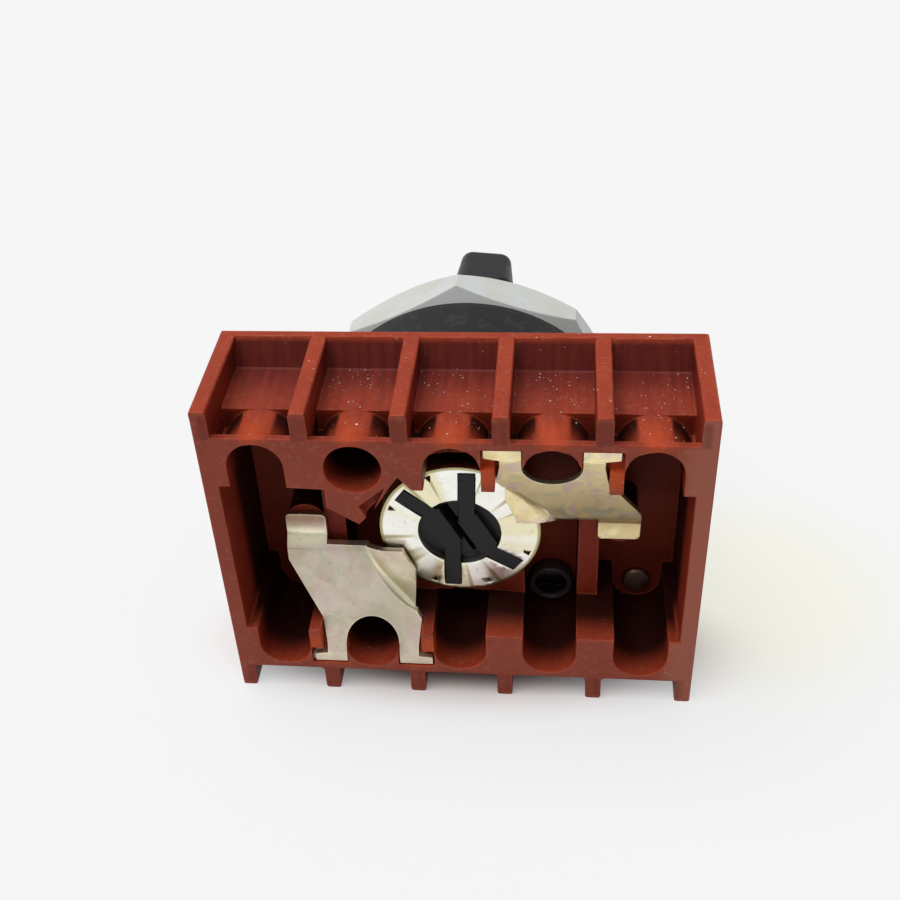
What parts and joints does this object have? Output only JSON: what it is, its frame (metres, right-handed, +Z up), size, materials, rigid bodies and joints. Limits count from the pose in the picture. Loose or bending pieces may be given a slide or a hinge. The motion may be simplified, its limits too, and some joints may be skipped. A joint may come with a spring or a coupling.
{
  "type": "selector switch",
  "caption": "Panel-mounted rotary selector switch with a ribbed maroon contact deck open at the rear, an octagonal ring nut and a black lever knob.",
  "frame": {"origin": "centre of the whole switch's footprint, in the plane of the rib feet it stands on", "axes": "+X to the right seen from the open rear face, +Y along the switch axis from the open rear face to the knob, +Z up"},
  "size_m": [0.06, 0.0524, 0.0462],
  "materials": {
    "maroon_thermoset": "moulded thermoset, dull with dust",
    "plated_brass": "pale yellow plated, scratched and tarnished",
    "bright_brass": "bright, lightly lacquered",
    "black_plastic": "moulded, satin",
    "collar_plastic": "moulded, dull",
    "copper_pin": "tarnished copper",
    "black_steel": "black oxide",
    "black_rubber": "plain",
    "washer_plastic": "natural moulding",
    "grey_nut": "pale grey, satin",
    "bright_steel": "turned",
    "spring_steel": "rolled strip",
    "knob_plastic": "moulded, semi-gloss",
    "white_plastic": "plain"
  },
  "bodies": {
    "block": {"contact_housing": "maroon_thermoset", "contact_plate_lower": "plated_brass", "contact_plate_upper": "plated_brass", "collar_lower": "collar_plastic", "collar_upper": "collar_plastic", "location_pins": "copper_pin", "fixing_screws": "black_steel", "operator_body": "black_plastic", "bearing_plate": "black_plastic", "panel_gasket": "black_rubber", "shaft_seal": "black_rubber", "thrust_washer": "washer_plastic", "ring_nut": "grey_nut", "detent_spring_left": "spring_steel", "detent_spring_right": "spring_steel"},
    "selector": {"rotor_cup": "bright_brass", "rotor_body": "black_plastic", "drive_shaft": "bright_steel", "detent_wheel": "washer_plastic", "retaining_clip": "spring_steel", "selector_knob": "knob_plastic", "pointer_inlay": "white_plastic", "knob_screw": "black_steel"}
  },
  "joints": [
    {"name": "selector_turn", "type": "hinge", "parent": "block", "child": "selector", "pos_m": [0, 0, 0.0231], "axis": [0, 1, 0], "range_deg": [-45, 45], "deforming": ["detent_spring_left", "detent_spring_right"]}
  ]
}
